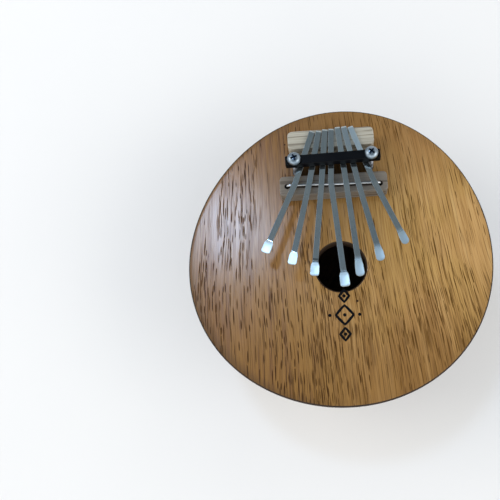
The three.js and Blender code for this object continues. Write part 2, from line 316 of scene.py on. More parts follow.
class Graph:
    """The node tree of a new material, or of a world, with short ways to add the nodes used here."""

    def __init__(self, name, library=bpy.data.materials, shader="Principled BSDF"):
        self.owner = library.new(name)
        self.owner.use_nodes = True
        self.tree = self.owner.node_tree
        self.shader = self.tree.nodes[shader]

    def feed(self, socket, value):
        if isinstance(value, bpy.types.NodeSocket):
            self.tree.links.new(value, socket)
        else:
            socket.default_value = value

    def add(self, kind, inputs=None, **settings):
        node = self.tree.nodes.new("ShaderNode" + kind)
        for key, value in settings.items():
            setattr(node, key, value)
        for key, value in (inputs or {}).items():
            self.feed(node.inputs[key], value)
        return node

    def set(self, **values):
        for key, value in values.items():
            self.feed(self.shader.inputs[key.replace("_", " ")], value)

    def mapped(self, vector, scale=(1, 1, 1), shift=(0, 0, 0), turn=0):
        inputs = {"Vector": vector, "Scale": scale, "Location": shift, "Rotation": (0, 0, math.radians(turn))}
        return self.add("Mapping", inputs).outputs[0]

    def place_mm(self, scale=(1, 1, 1), shift=(0, 0, 0), turn=0):
        """Object coordinates in millimetres, turned about Z, then scaled."""
        turned = self.mapped(self.add("TexCoord").outputs["Object"], turn=turn)
        return self.mapped(turned, tuple(factor / MM for factor in scale), shift)

    def noise(self, vector, detail=2.0, roughness=0.5, distortion=0.0):
        inputs = {"Vector": vector, "Scale": 1.0, "Detail": detail,
                  "Roughness": roughness, "Distortion": distortion}
        return self.add("TexNoise", inputs).outputs["Fac"]

    def noise_mm(self, scale, shift=(0, 0, 0), turn=0, **options):
        """Noise with so many cells per millimetre along each axis, turned about Z."""
        return self.noise(self.place_mm(scale, shift, turn), **options)

    def ramp(self, share, *stops):
        """Colour by a 0 to 1 input. Stops are (place, colour)."""
        node = self.add("ValToRGB", {"Fac": share})
        elements = node.color_ramp.elements
        while len(elements) < len(stops):
            elements.new(0.5)
        for element, (place, colour) in zip(elements, stops):
            element.position = place
            element.color = colour
        return node.outputs["Color"]

    def step(self, share, low, high, start=0.0, end=1.0):
        """Smoothly from start to end as the input goes from low to high."""
        inputs = {"Value": share, "From Min": low, "From Max": high, "To Min": start, "To Max": end}
        return self.add("MapRange", inputs, interpolation_type="SMOOTHSTEP").outputs["Result"]

    def calc(self, operation, first, second=0.0):
        node = self.add("Math", operation=operation)
        self.feed(node.inputs[0], first)
        self.feed(node.inputs[1], second)
        return node.outputs[0]

    def plus(self, first, second):
        return self.calc("ADD", first, second)

    def times(self, first, second):
        return self.calc("MULTIPLY", first, second)

    def squares(self, first, second):
        """The sum of two squares."""
        return self.plus(self.times(first, first), self.times(second, second))

    def mix(self, share, first, second):
        """Blends two colours. The node has sockets for every data type, and 6 and 7 are its colours."""
        node = self.add("Mix", data_type="RGBA")
        self.feed(node.inputs[0], share)
        self.feed(node.inputs[6], first)
        self.feed(node.inputs[7], second)
        return node.outputs[2]

    def tint(self, colour, share, *shade):
        """Blends a colour towards an 8-bit shade."""
        return self.mix(share, colour, linear(*shade))

    def tints(self, colour, *rows):
        """Blends towards shades in turn, each by 0 to share as its source goes from low to high."""
        for source, low, high, share, shade in rows:
            colour = self.tint(colour, self.step(source, low, high, 0, share), *shade)
        return colour

    def bump(self, height, depth, strength=1.0, normal=None):
        inputs = {"Height": height, "Distance": depth, "Strength": strength}
        if normal is not None:
            inputs["Normal"] = normal
        return self.add("Bump", inputs).outputs[0]

    def split(self, vector):
        return self.add("SeparateXYZ", {"Vector": vector}).outputs


# How far the grain leans off Y, how fast it fans out per mm of X, and how far it wanders in mm.
GRAIN_LEAN = 0.035
GRAIN_FAN = 0.0012
GRAIN_WANDER = 5.0


def lacquered_wood():
    """Golden brown open-grain wood under clear lacquer. The grain runs along Y and fans out a little."""
    g = Graph("lacquered_wood")
    x, y, z = g.split(g.place_mm())
    lean = g.plus(g.times(x, GRAIN_FAN), GRAIN_LEAN)
    wander = g.noise_mm((0.018, 0.014, 0.018), detail=1.5)
    across = g.plus(x, g.times(y, lean))
    across = g.plus(across, g.times(wander, GRAIN_WANDER))
    field = g.add("CombineXYZ", {"X": across, "Y": y, "Z": z}).outputs[0]

    def grain(wide, long, shift, **options):
        """Noise whose cells are wide across the grain and long along it, in cells per millimetre."""
        return g.noise(g.mapped(field, (wide, long, wide), (shift, 0.37 * shift, 0)), **options)

    # Broad bands and fine streaks set the tone. Patches, fibres and thin lines tint it, and it darkens
    # towards the left, the near and the far side.
    bands = grain(0.085, 0.006, 3.1)
    streaks = grain(0.5, 0.018, 8.7, detail=3, roughness=0.6)
    fibres = grain(2.8, 0.05, 1.9, roughness=0.6)
    patches = g.noise_mm((0.04, 0.022, 0.04), (2, 9, 0))
    tone = g.plus(g.times(bands, 0.5), g.times(streaks, 0.5))
    colour = g.ramp(tone, (0.36, linear(148, 111, 64)), (0.46, linear(172, 133, 80)),
                    (0.54, linear(184, 145, 91)), (0.65, linear(191, 156, 102)))
    colour = g.tints(
        colour,
        (patches, 0.42, 0.62, 0.45, (170, 136, 72)),
        (bands, 0.48, 0.36, 0.25, (136, 98, 56)),
        (x, 45, -60, 0.75, (116, 82, 48)),
        (y, -10, -70, 0.6, (120, 84, 32)),
        (y, 15, 60, 0.7, (128, 91, 48)),
        (fibres, 0.47, 0.66, 0.5, (112, 78, 38)))
    lines = grain(1.3, 0.05, 40.2, roughness=0.6)
    lined = g.calc("MAXIMUM", g.step(x, 5, -35), g.step(y, -5, -45))
    colour = g.tint(colour, g.times(g.step(lines, 0.5, 0.64, 0, 0.4), lined), 96, 66, 36)
    reddish = g.times(g.step(streaks, 0.52, 0.62, 0, 0.45), g.step(x, 0, -40))
    colour = g.tint(colour, reddish, 98, 64, 42)

    # Pores: strokes of five kinds and fine cells. Bare says where the wood has few.
    crowd = grain(0.075, 0.016, 5.5)
    bare = g.step(crowd, 0.4, 0.58, 0.95, 0.22)

    def dashes(across_mm, along_mm, half_width, half_length, shift, rarity):
        """Thin strokes along the grain, at most one to a cell. A higher rarity leaves more cells empty."""
        place = g.mapped(field, (1 / across_mm, 1 / along_mm, 1), (shift, shift, 0))
        cell = g.add("TexVoronoi", {"Vector": place, "Scale": 1.0}, voronoi_dimensions="2D")
        away = g.add("VectorMath", {0: place, 1: cell.outputs["Position"]}, operation="SUBTRACT").outputs[0]
        chance, stretch = g.add("SeparateColor", {"Color": cell.outputs["Color"]}).outputs[:2]
        off_x, off_y = g.split(away)[:2]
        wide = g.times(off_x, across_mm / half_width)
        long = g.times(off_y, along_mm / half_length)
        long = g.calc("DIVIDE", long, g.step(stretch, 0, 1, 0.45, 1.3))
        size = g.squares(wide, long)
        return g.times(g.step(size, 1.1, 0.5), g.step(g.calc("SUBTRACT", chance, rarity), 0, 0.1))

    rightward = g.plus(bare, g.step(x, -5, -40, -0.05, 0.55))
    leftward = g.plus(bare, g.step(x, 15, -30, 0.8, 0.28))
    below = g.plus(bare, g.plus(g.step(x, 15, -20, 0.9, 0), g.step(y, 20, -20, 0.7, -0.5)))
    fine_cells = grain(2.7, 0.05, 33.8, detail=1.0, roughness=0.4)
    fine_limit = g.plus(g.step(y, 10, -50, 0.6, 0.55), g.times(bare, 0.04))
    pores = g.step(g.calc("SUBTRACT", fine_cells, fine_limit), 0.0, 0.05, 0, 0.75)
    for kind in (
            (2.3, 17, 0.22, 7.5, 3.4, rightward),
            (1.8, 11, 0.2, 4.8, 17.9, rightward),
            (2.1, 10, 0.26, 4.4, 8.1, leftward),
            (1.7, 7.0, 0.23, 3.0, 23.6, leftward),
            (1.6, 9.0, 0.28, 4.0, 41.7, below)):
        pores = g.calc("MAXIMUM", pores, dashes(*kind))
    depth = g.step(grain(0.5, 0.1, 27.0, detail=1), 0.35, 0.65, 0.7, 1.0)
    pore_colour = g.mix(g.step(x, 30, -40), linear(80, 54, 22), linear(58, 38, 21))
    colour = g.mix(g.times(pores, depth), colour, pore_colour)

    # Dark specks, and darkening along the rim, most on the left.
    cells = g.add("TexVoronoi", {"Vector": g.place_mm((0.06, 0.06, 0.06)), "Scale": 1.0})
    specks = cells.outputs["Distance"]
    colour = g.tint(colour, g.step(specks, 0.045, 0.025), 48, 30, 16)
    reach = g.calc("SQRT", g.squares(x, y))
    worn = g.times(g.step(reach, 66.5, 71.5, 0, 0.55), g.step(x, 10, -50, 0.15, 1.0))
    colour = g.tint(colour, worn, 74, 54, 36)

    # Painted shade: the wood between the clamp bar and the rear saddle, and just in front of the bar, is
    # darkened nearly black, standing in for the shade under the bar and the tines.
    bar, behind = centre_of("clamp_bar") / MM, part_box("rear_saddle")[0] / MM
    beside = g.calc("ABSOLUTE", g.calc("SUBTRACT", x, bar.x))
    run = g.times(g.step(y, bar.y - 5.5, bar.y - 1.5), g.step(y, behind.y + 3, behind.y - 1))
    run = g.times(run, g.step(g.plus(beside, g.times(streaks, 4)), 21, 17))
    colour = g.tint(colour, g.times(run, 0.85), 18, 13, 10)

    # Relief and gloss: the lacquer swells gently and sinks into the pores.
    swell = grain(0.16, 0.035, 14.2, detail=0.6)
    relief = g.calc("SUBTRACT", g.times(fibres, 0.1), pores)
    normal = g.bump(swell, 0.03 * MM, 0.25)
    normal = g.bump(relief, 0.012 * MM, 0.4, normal)
    rough = g.plus(g.step(streaks, 0.3, 0.7, 0.17, 0.23), g.times(pores, 0.12))
    # Gloss is dimmed in the pores and in the painted shade round the bar.
    pores_and_painted_shade = g.calc("MAXIMUM", g.times(pores, 0.9), run)
    g.set(Base_Color=colour, Roughness=rough, Normal=normal,
          Specular_Tint=g.mix(pores_and_painted_shade, linear(255, 255, 255), linear(20, 20, 20)))
    return g.owner


def darkened_edge():
    """The board's edge and the walls of its holes, coloured nearly black and left unlacquered."""
    g = Graph("darkened_edge")
    layers = g.noise_mm((0.25, 0.25, 1.6), detail=3, roughness=0.6)
    pits = g.noise_mm((1.6, 1.6, 1.6), (3, 8, 1))
    colour = g.ramp(layers, (0.3, linear(30, 21, 14)), (0.7, linear(58, 42, 28)))
    colour = g.tint(colour, g.step(pits, 0.55, 0.7, 0, 0.7), 16, 11, 8)
    g.set(Base_Color=colour, Roughness=0.6, Specular_IOR_Level=0.2, Normal=g.bump(pits, 0.08 * MM, 0.6))
    return g.owner


def bare_wood(name, light, dark, lines):
    """Sanded wood with fine straight grain along the block."""
    g = Graph(name)
    broad = g.noise_mm((0.03, 0.35, 0.2))
    fine = g.noise_mm((0.05, 1.7, 1.0), detail=3, roughness=0.65)
    rings = g.noise_mm((0.012, lines, lines), (4, 8, 0), detail=1.5, roughness=0.4, distortion=0.1)
    colour = g.mix(broad, linear(*light), linear(*(0.9 * value for value in light)))
    colour = g.tint(colour, g.times(g.step(rings, 0.53, 0.6), 0.8), *dark)
    colour = g.tint(colour, g.step(fine, 0.4, 0.75, 0, 0.4), *dark)
    fuzz = g.noise_mm((0.8, 5, 5), detail=3)
    normal = g.bump(g.plus(g.times(fuzz, 0.5), g.calc("SUBTRACT", 1.0, fine)), 0.05 * MM, 0.7)
    g.set(Base_Color=colour, Roughness=g.step(fine, 0.3, 0.7, 0.5, 0.68), Normal=normal)
    return g.owner


def coconut():
    """Polished brown coconut shell, with fibres running from the crown to the rim."""
    g = Graph("coconut_polish")
    x, y, z = g.split(g.place_mm())
    around = g.times(g.calc("ARCTAN2", y, x), 60.0)
    reach = g.calc("SQRT", g.squares(x, y))
    down = g.plus(reach, g.times(z, 0.9))
    field = g.add("CombineXYZ", {"X": around, "Y": down, "Z": reach}).outputs[0]

    def along(around_scale, down_scale, shift=0.0):
        return g.mapped(field, (around_scale, down_scale, around_scale * 0.2), (shift, shift, 0))

    blotches = g.noise_mm((0.035, 0.035, 0.035), detail=3, roughness=0.6)
    streaks = g.noise(along(0.35, 0.03), detail=4, roughness=0.65, distortion=0.4)
    fibres = g.noise(along(1.6, 0.07, 5.0), detail=3, roughness=0.6, distortion=0.2)
    flecks = g.noise(along(1.1, 0.22, 9.0), detail=1.5)
    colour = g.ramp(streaks, (0.3, linear(36, 22, 13)), (0.5, linear(66, 42, 25)),
                    (0.68, linear(102, 68, 40)))
    colour = g.tints(
        colour,
        (blotches, 0.4, 0.7, 0.6, (44, 27, 17)),
        (fibres, 0.58, 0.75, 0.6, (132, 88, 54)),
        (flecks, 0.66, 0.74, 0.75, (158, 116, 74)))
    relief = g.plus(g.times(streaks, 0.6), g.times(fibres, 0.4))
    normal = g.bump(relief, 0.12 * MM, 0.6)
    g.set(Base_Color=colour, Roughness=g.step(fibres, 0.3, 0.7, 0.26, 0.4), Normal=normal)
    return g.owner


def shell_inside():
    """The bowl's inner face: scraped, dull and darker."""
    g = Graph("shell_inside")
    patch = g.noise_mm((0.08, 0.08, 0.08), detail=4, roughness=0.6)
    scrape = g.noise_mm((0.9, 0.12, 0.5), turn=30, detail=3, roughness=0.6)
    colour = g.ramp(patch, (0.3, linear(46, 30, 20)), (0.7, linear(92, 66, 46)))
    colour = g.tint(colour, g.step(scrape, 0.45, 0.7, 0, 0.5), 112, 84, 60)
    g.set(Base_Color=colour, Roughness=0.75, Normal=g.bump(scrape, 0.2 * MM, 0.7))
    return g.owner


def steel(name, light, dark, rough_low, rough_high, drawn, grime):
    """Drawn or plated metal: fine lines one way, cloudy tone, small dull spots."""
    g = Graph(name)
    clouds = g.noise_mm((0.25, 0.25, 0.25), detail=4, roughness=0.6)
    lines = g.noise_mm(drawn, detail=3, roughness=0.7)
    spots = g.noise_mm((1.1, 1.1, 1.1), (5, 2, 7))
    colour = g.mix(g.step(clouds, 0.3, 0.7), linear(*light), linear(*dark))
    colour = g.tint(colour, g.step(spots, 0.62, 0.75, 0, grime), *(0.6 * value for value in dark))
    rough = g.plus(g.step(clouds, 0.3, 0.7, rough_low, rough_high), g.step(lines, 0.4, 0.8, 0, 0.06))
    g.set(Base_Color=colour, Metallic=1.0, Roughness=rough, Normal=g.bump(lines, 0.012 * MM, 0.6))
    return g.owner


def tine_steel():
    """Blue-grey spring steel. Its attributes say where it is ground bright or has a painted highlight, and
    where painted shade darkens its sides and underside and crosses it at the bend.
    """
    g = Graph("tine_steel")
    clouds = g.noise_mm((0.2, 0.09, 0.2), detail=3, roughness=0.55)
    lines = g.noise_mm((3.0, 0.05, 3.0), detail=3, roughness=0.6)
    spots = g.noise_mm((1.2, 0.6, 1.2), (5, 2, 7))
    masks = [g.add("Attribute", attribute_name=name).outputs["Fac"] for name in ("tip", "edge", "mark")]
    tip, edge, mark = masks
    body = g.mix(g.step(clouds, 0.3, 0.7), linear(190, 200, 203), linear(172, 185, 191))
    body = g.tints(
        body,
        (lines, 0.5, 0.75, 0.3, (204, 213, 217)),
        (spots, 0.62, 0.75, 0.35, (128, 138, 144)))
    # Bright ground finish of the tips, also used as a painted highlight on the rear ends.
    bright = g.mix(g.step(clouds, 0.3, 0.7), linear(218, 236, 242), linear(196, 216, 228))
    rough = g.plus(g.step(clouds, 0.3, 0.7, 0.09, 0.13), g.step(lines, 0.4, 0.8, 0, 0.03))
    rough = g.add("Mix", {0: tip, 2: rough, 3: 0.4}).outputs[0]
    scratches = g.noise_mm((2.5, 0.4, 2.0), turn=35, roughness=0.6)
    # Painted shade: near-black lines just before the bend stand in for dark reflections there.
    colour = g.mix(mark, g.mix(tip, body, bright), linear(38, 44, 52))
    # Painted shade: the strip's sides and underside are darkened, less on the ground tips, and dulled.
    colour = g.tint(colour, g.times(edge, g.step(tip, 0.0, 1.0, 0.75, 0.1)), 92, 100, 106)
    g.set(Base_Color=colour, Metallic=1.0, Roughness=g.calc("MAXIMUM", rough, g.times(edge, 0.6)),
          Normal=g.bump(g.mix(tip, lines, scratches), 0.001 * MM, 0.2))
    return g.owner


def black_paint(name, rough):
    """Satin black, with a faint worn grey on its uneven spots."""
    g = Graph(name)
    specks = g.noise_mm((1.4, 1.4, 1.4), detail=4, roughness=0.65)
    clouds = g.noise_mm((0.15, 0.4, 0.4))
    colour = g.mix(g.step(specks, 0.55, 0.75, 0, 0.5), linear(2, 3, 6), linear(9, 11, 15))
    g.set(Base_Color=colour, Roughness=g.step(clouds, 0.3, 0.7, rough, rough + 0.12),
          Specular_IOR_Level=0.1, Normal=g.bump(specks, 0.03 * MM, 0.5))
    return g.owner


def floor_white():
    g = Graph("floor_white")
    mottle = g.noise_mm((0.01, 0.01, 0.01), detail=3)
    g.set(Base_Color=g.mix(mottle, linear(233, 233, 233), linear(229, 229, 230)), Roughness=0.7)
    return g.owner


WOOD = lacquered_wood()
BOARD_EDGE = darkened_edge()
REAR_WOOD = bare_wood("pale_wood", (178, 174, 160), (108, 100, 86), 0.8)
FRONT_WOOD = bare_wood("grey_wood", (120, 112, 101), (76, 66, 56), 0.5)
# Near-black wood lining the wire's groove and sockets: painted shade under the wire and in the holes.
GROOVE_SHADE_WOOD = bare_wood("groove_shade_wood", (60, 50, 42), (34, 27, 22), 0.5)
BRACE_WOOD = bare_wood("brace_wood", (176, 144, 100), (120, 90, 58), 0.5)
COCONUT = coconut()
SHELL_INSIDE = shell_inside()
TINE_STEEL = tine_steel()
ZINC = steel("zinc_plate", (156, 169, 180), (108, 123, 137), 0.26, 0.36, (2.0, 2.0, 0.4), 0.25)
# Darker plating for the screws' threads: painted shade under the clamp bar.
SHADED_THREAD_STEEL = steel("shaded_thread_steel", (150, 155, 162), (84, 88, 96), 0.28, 0.4, (2.0, 2.0, 0.4), 0.6)
# Dark blue plating inside the cross recesses: painted shade.
RECESS_SHADE_STEEL = steel("recess_shade_steel", (66, 84, 112), (34, 46, 66), 0.4, 0.5, (2.0, 2.0, 2.0), 0.6)
WIRE_STEEL = steel("wire_steel", (186, 190, 194), (140, 145, 150), 0.08, 0.13, (0.15, 4.0, 4.0), 0.2)
BAR_BLACK = black_paint("bar_black", 0.3)
MOTIF_BLACK = black_paint("motif_black", 0.42)


# Soundboard

BOARD_EASE = 0.9 * MM
BOARD_BORE_RADIUS = 1.7 * MM


def soundboard():
    """The board as rings from the sound hole's wall over the top, round the edge and back underneath."""
    ease = BOARD_EASE
    points = points_of("soundboard")
    near = points[np.hypot(points[:, 0], points[:, 1]) < 25 * MM]
    hole = (near[:, :2].min(0) + near[:, :2].max(0)) / 2
    level = near[abs(near[:, 2] - (BOARD_LOW.z + BOARD_HIGH.z) / 2) < 2.5 * MM]
    hole_radius = np.hypot(*(level[:, :2] - hole).T).mean()
    arc = [math.radians(15 * i) for i in range(7)]
    # Each ring is (share of the way from hole to outline, inset in metres, height).
    path = [(0, ease * (1 - math.cos(t)), DECK - ease + ease * math.sin(t)) for t in arc]
    path += [(share, 0, DECK) for share in np.linspace(0.05, 0.97, 34)]
    path += [(1, -ease * (1 - math.sin(t)), DECK - ease + ease * math.cos(t)) for t in arc]
    middle = [BOARD_LOW.z + ease + (DECK - BOARD_LOW.z - 2 * ease) * share for share in (0.75, 0.5, 0.25)]
    path += [(1, 0, z) for z in middle]
    path += [(1, -ease * (1 - math.cos(t)), BOARD_LOW.z + ease - ease * math.sin(t)) for t in arc]
    path += [(share, 0, BOARD_LOW.z) for share in (0.9, 0.6, 0.3)]
    path += [(0, ease * (1 - math.sin(t)), BOARD_LOW.z + ease - ease * math.cos(t)) for t in arc]
    path += [(0, 0, z) for z in reversed(middle)]
    rings = []
    for share, inset, z in path:
        ring = []
        for turn in turns_round(360):
            outward = heading(turn)
            inner = Vector((*hole, z)) + outward * hole_radius
            outer = outward * RADIUS_AT(turn) + UP * z
            ring.append(inner.lerp(outer, share) + outward * inset)
        rings.append(ring)
    board = new_piece("soundboard_visual", *ring_torus(rings), WOOD)
    carve(board, screw_holes(BOARD_BORE_RADIUS, BOARD_LOW.z - 5 * MM, DECK + 5 * MM))
    shade_by_angle(board)
    board.data.materials.append(BOARD_EDGE)
    for polygon in board.data.polygons:
        if abs(polygon.normal.z) < 0.95:
            polygon.material_index = 1
    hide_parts("soundboard")


# Coconut shell

SHELL_WALL = 4 * MM
RIDGE_COUNT = 3
RIDGE_HEADING = math.radians(-41)
RIDGE_WIDTH = 0.09
RIDGE_HEIGHT = 0.55 * MM
# Coarse and fine dents: closeness round the shell, closeness upwards per metre, shift and depth.
DENTS = ((2.2, 40, 0, 0.5 * MM), (7, 120, 4, 0.16 * MM))
# How far the surface is drawn in, to make room for the ridges and the dents.
SHELL_SINK = 0.45 * MM


def ridge_at(turn):
    """How near a heading is to a ridge's crest, from 0 to 1."""
    offs = [math.remainder(turn - RIDGE_HEADING - k * TURN / RIDGE_COUNT, TURN) for k in range(RIDGE_COUNT)]
    return sum(math.exp(-(off / RIDGE_WIDTH) ** 2) for off in offs)


def coconut_shell():
    """A half coconut with soft ridges from crown to rim, a flat to stand on and an even wall."""
    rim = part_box("coconut_shell")[1].z
    foot = foot_of("coconut_shell")
    flat = np.hypot(foot[:, 0], foot[:, 1]).max()
    mean_radius = np.mean([RADIUS_AT(turn) for turn in turns_round(180)])
    flat_turn = math.asin(flat / mean_radius)
    depth = rim / math.cos(flat_turn)
    count, outer_steps, inner_steps = 300, 70, 40
    # Each ring is (radius, height, share of the unevenness).
    outer = [(flat * share, 0.0, 0.0) for share in (0.03, 0.3, 0.6, 0.9)]
    for i in range(outer_steps + 1):
        turn = flat_turn + (math.pi / 2 - flat_turn) * i / outer_steps
        fade = math.sin(math.pi * i / outer_steps) ** 0.7
        outer.append((mean_radius * math.sin(turn), rim - depth * math.cos(turn), fade))
    inner_radius, inner_depth = mean_radius - SHELL_WALL, depth - SHELL_WALL
    inner = []
    for i in range(inner_steps):
        turn = math.pi / 2 * (1 - i / inner_steps)
        inner.append((inner_radius * math.sin(turn), rim - inner_depth * math.cos(turn), 0.0))
    inner.append((0.5 * MM, rim - inner_depth, 0.0))
    rings = []
    for radius, height, fade in outer + inner:
        ring = []
        for turn in turns_round(count):
            x, y = math.cos(turn), math.sin(turn)
            push = RIDGE_HEIGHT * ridge_at(turn) - SHELL_SINK
            for near, up, shift, dent in DENTS:
                push += dent * noise.noise(Vector((x * near, y * near, height * up + shift)))
            reach = radius * (RADIUS_AT(turn) / mean_radius) + fade * push
            ring.append(Vector((reach * x, reach * y, height)))
        rings.append(ring)
    shell = new_piece("coconut_shell_visual", *loft(rings), COCONUT)
    shell.data.materials.append(SHELL_INSIDE)
    inside_from = (len(outer) - 1) * count
    for polygon in shell.data.polygons:
        if min(polygon.vertices) >= inside_from:
            polygon.material_index = 1
    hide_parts("coconut_shell")


# Bridge

WIRE_RADIUS = 0.62 * MM
WIRE_BEND = 1.5 * MM
BAR_BORE_RADIUS = 1.6 * MM


def saddles():
    rear = eased_block("rear_saddle", REAR_WOOD, corner=2.2 * MM, ease=0.5 * MM, uneven=0.08 * MM, seed=3)
    front = eased_block("front_saddle", FRONT_WOOD, corner=1.8 * MM, ease=0.55 * MM, uneven=0.08 * MM, seed=5)
    low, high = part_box("front_saddle")
    sockets = []
    for leg in wire_legs():
        profile = [(1.2 * MM, low.z + 2.5 * MM), (1.2 * MM, high.z - 0.4 * MM), (1.4 * MM, high.z + 1 * MM)]
        sockets.append(lathe(profile, 32, (leg.x, leg.y, 0)))
    # The sockets and the groove are lined with painted shade.
    carve(front, sockets, GROOVE_SHADE_WOOD)
    carve(front, [wire_groove(high.z)], GROOVE_SHADE_WOOD)
    shade_by_angle(front)


def wire_groove(top):
    """The shallow groove that the wire has pressed into the front saddle."""
    left, right = wire_legs()
    along = (right - left).normalized()
    across = UP.cross(along)
    rings = []
    for end in (left, right):
        base = Vector((end.x, end.y, top))
        section = ((-1.0, 1.0), (-0.95, 0.0), (-0.6, -0.4), (0.6, -0.4), (0.95, 0.0), (1.0, 1.0))
        rings.append([base + across * (x * MM) + UP * (z * MM) for x, z in section])
    return loft(rings)


def wire_legs():
    """The lower ends of the wire's two legs."""
    ends = foot_of("saddle_wire")
    middle = ends[:, 0].mean()
    return [Vector(ends[ends[:, 0] < middle].mean(0)), Vector(ends[ends[:, 0] > middle].mean(0))]


def sweep_circle(path, radius, count):
    """Rings of a round wire along a path that stays in one upright plane."""
    run = path[-1] - path[0]
    side = UP.cross(Vector((run.x, run.y, 0))).normalized()
    rings = []
    for i, point in enumerate(path):
        ahead = path[min(i + 1, len(path) - 1)] - path[max(i - 1, 0)]
        normal = side.cross(ahead.normalized())
        rings.append(circle(radius, count, point, side, normal))
    return rings


def wire_end(foot, inward, crown):
    """Points up one leg of the wire and round its bend, to the crown's height."""
    corner = Vector((foot.x, foot.y, crown - WIRE_BEND))
    path = [foot + UP * (corner.z - foot.z) * i / 8 for i in range(8)]
    for i in range(13):
        turn = math.radians(7.5 * i)
        path.append(corner + inward * (WIRE_BEND * (1 - math.cos(turn))) + UP * (WIRE_BEND * math.sin(turn)))
    return path


def saddle_wire():
    """A staple whose long span sways a little."""
    left, right = wire_legs()
    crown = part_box("saddle_wire")[1].z - WIRE_RADIUS
    along = (right - left).normalized()
    path, far = wire_end(left, along, crown), wire_end(right, -along, crown)
    start, end = path[-1].copy(), far[-1]
    for i in range(1, 60):
        share = i / 60
        sway = 0.12 * MM * math.sin(share * 9.0) * math.sin(share * math.pi)
        path.append(start.lerp(end, share) + UP.cross(along) * sway)
    path += reversed(far)
    wire = new_piece("saddle_wire_visual", *loft(sweep_circle(path, WIRE_RADIUS, 24)), WIRE_STEEL)
    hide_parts("saddle_wire")


def clamp_bar():
    bar = eased_block("clamp_bar", BAR_BLACK, corner=0.5 * MM, ease=0.35 * MM, uneven=0.03 * MM, seed=8)
    low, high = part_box("clamp_bar")
    carve(bar, screw_holes(BAR_BORE_RADIUS, low.z - 2 * MM, high.z + 2 * MM))
    shade_by_angle(bar)


HEAD_HEIGHT = 3.2 * MM
HEAD_SHOULDER = 1.1 * MM
HEAD_SEAT_RADIUS = 2.6 * MM
RECESS_HALF_SPAN = 1.75 * MM
RECESS_DEPTH = 1.5 * MM


def recess_tool(centre, top, turn):
    """One pair of wings of a cross recess: a bar that narrows downwards."""
    along = heading(turn)
    across = UP.cross(along)
    rings = []
    for share, half_mm, level in ((1.0, 0.46, 0.4 * MM), (1.0, 0.46, 0.0), (0.42, 0.28, -RECESS_DEPTH)):
        thick = half_mm * MM
        half = RECESS_HALF_SPAN * share
        corners = [(half, -thick), (half, thick), (-half, thick), (-half, -thick)]
        base = Vector((centre.x, centre.y, top + level))
        rings.append([base + along * x + across * y for x, y in corners])
    return loft(rings)


def screw(side, turn):
    """A round-head screw with a rolled thread and a cross recess, which stands turned by some degrees."""
    node = f"screw_{side}"
    low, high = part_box(node)
    spot = centre_of(node)
    foot = high.z - HEAD_HEIGHT
    radius = 0.96 * (high.x - low.x) / 2
    profile = [(0.02 * MM, foot), (HEAD_SEAT_RADIUS, foot)]
    for i in range(1, 9):
        turn_out = math.radians(90 * i / 8)
        reach = HEAD_SEAT_RADIUS + (radius - HEAD_SEAT_RADIUS) * math.sin(turn_out)
        profile.append((reach, foot + HEAD_SHOULDER * (1 - math.cos(turn_out))))
    dome = HEAD_HEIGHT - HEAD_SHOULDER
    for i in range(1, 25):
        turn_in = math.radians(90 * i / 24)
        reach = max(0.02 * MM, radius * math.cos(turn_in) ** 0.8)
        profile.append((reach, foot + HEAD_SHOULDER + dome * math.sin(turn_in)))
    head = new_piece(f"{node}_head", *lathe(profile, 72, (spot.x, spot.y, 0)), ZINC)
    tools = [recess_tool(spot, high.z, math.radians(turn + quarter)) for quarter in (0, 90)]
    # The recess walls take painted shade.
    carve(head, tools, RECESS_SHADE_STEEL)
    shade_by_angle(head)
    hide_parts(node)
    # The thread takes the darker plating, painted shade under the bar.
    thread = new_piece(f"{node}_thread", *threaded_rod(spot, low.z, foot + 0.2 * MM), SHADED_THREAD_STEEL)
    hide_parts(node)


def threaded_rod(spot, low, high):
    """A rod whose thread runs round it as one groove, with a chamfer at its lower end."""
    pitch, crest, depth = 0.5 * MM, 1.4 * MM, 0.28 * MM
    rings = []
    levels = int((high - low) / pitch * 6)
    for row in range(levels + 1):
        z = low + (high - low) * row / levels
        taper = min(1.0, 0.72 + (z - low) / (0.8 * MM) * 0.28)
        ring = []
        for turn in turns_round(28):
            phase = (z / pitch - turn / TURN) % 1.0
            groove = 1 - abs(2 * phase - 1)
            reach = (crest - depth * (1 - min(1.0, groove * 1.35))) * taper
            ring.append(Vector((spot.x, spot.y, z)) + heading(turn) * reach)
        rings.append(ring)
    return loft(rings)


# Tines

TINE_HALF_WIDTH = 1.3 * MM
TINE_HALF_THICKNESS = 0.5 * MM
TONGUE_RISE = math.radians(5)
SHANK_TWIST = math.radians(2.5)
PAINTED_BEND_SHADE_WIDTH = 0.35 * MM
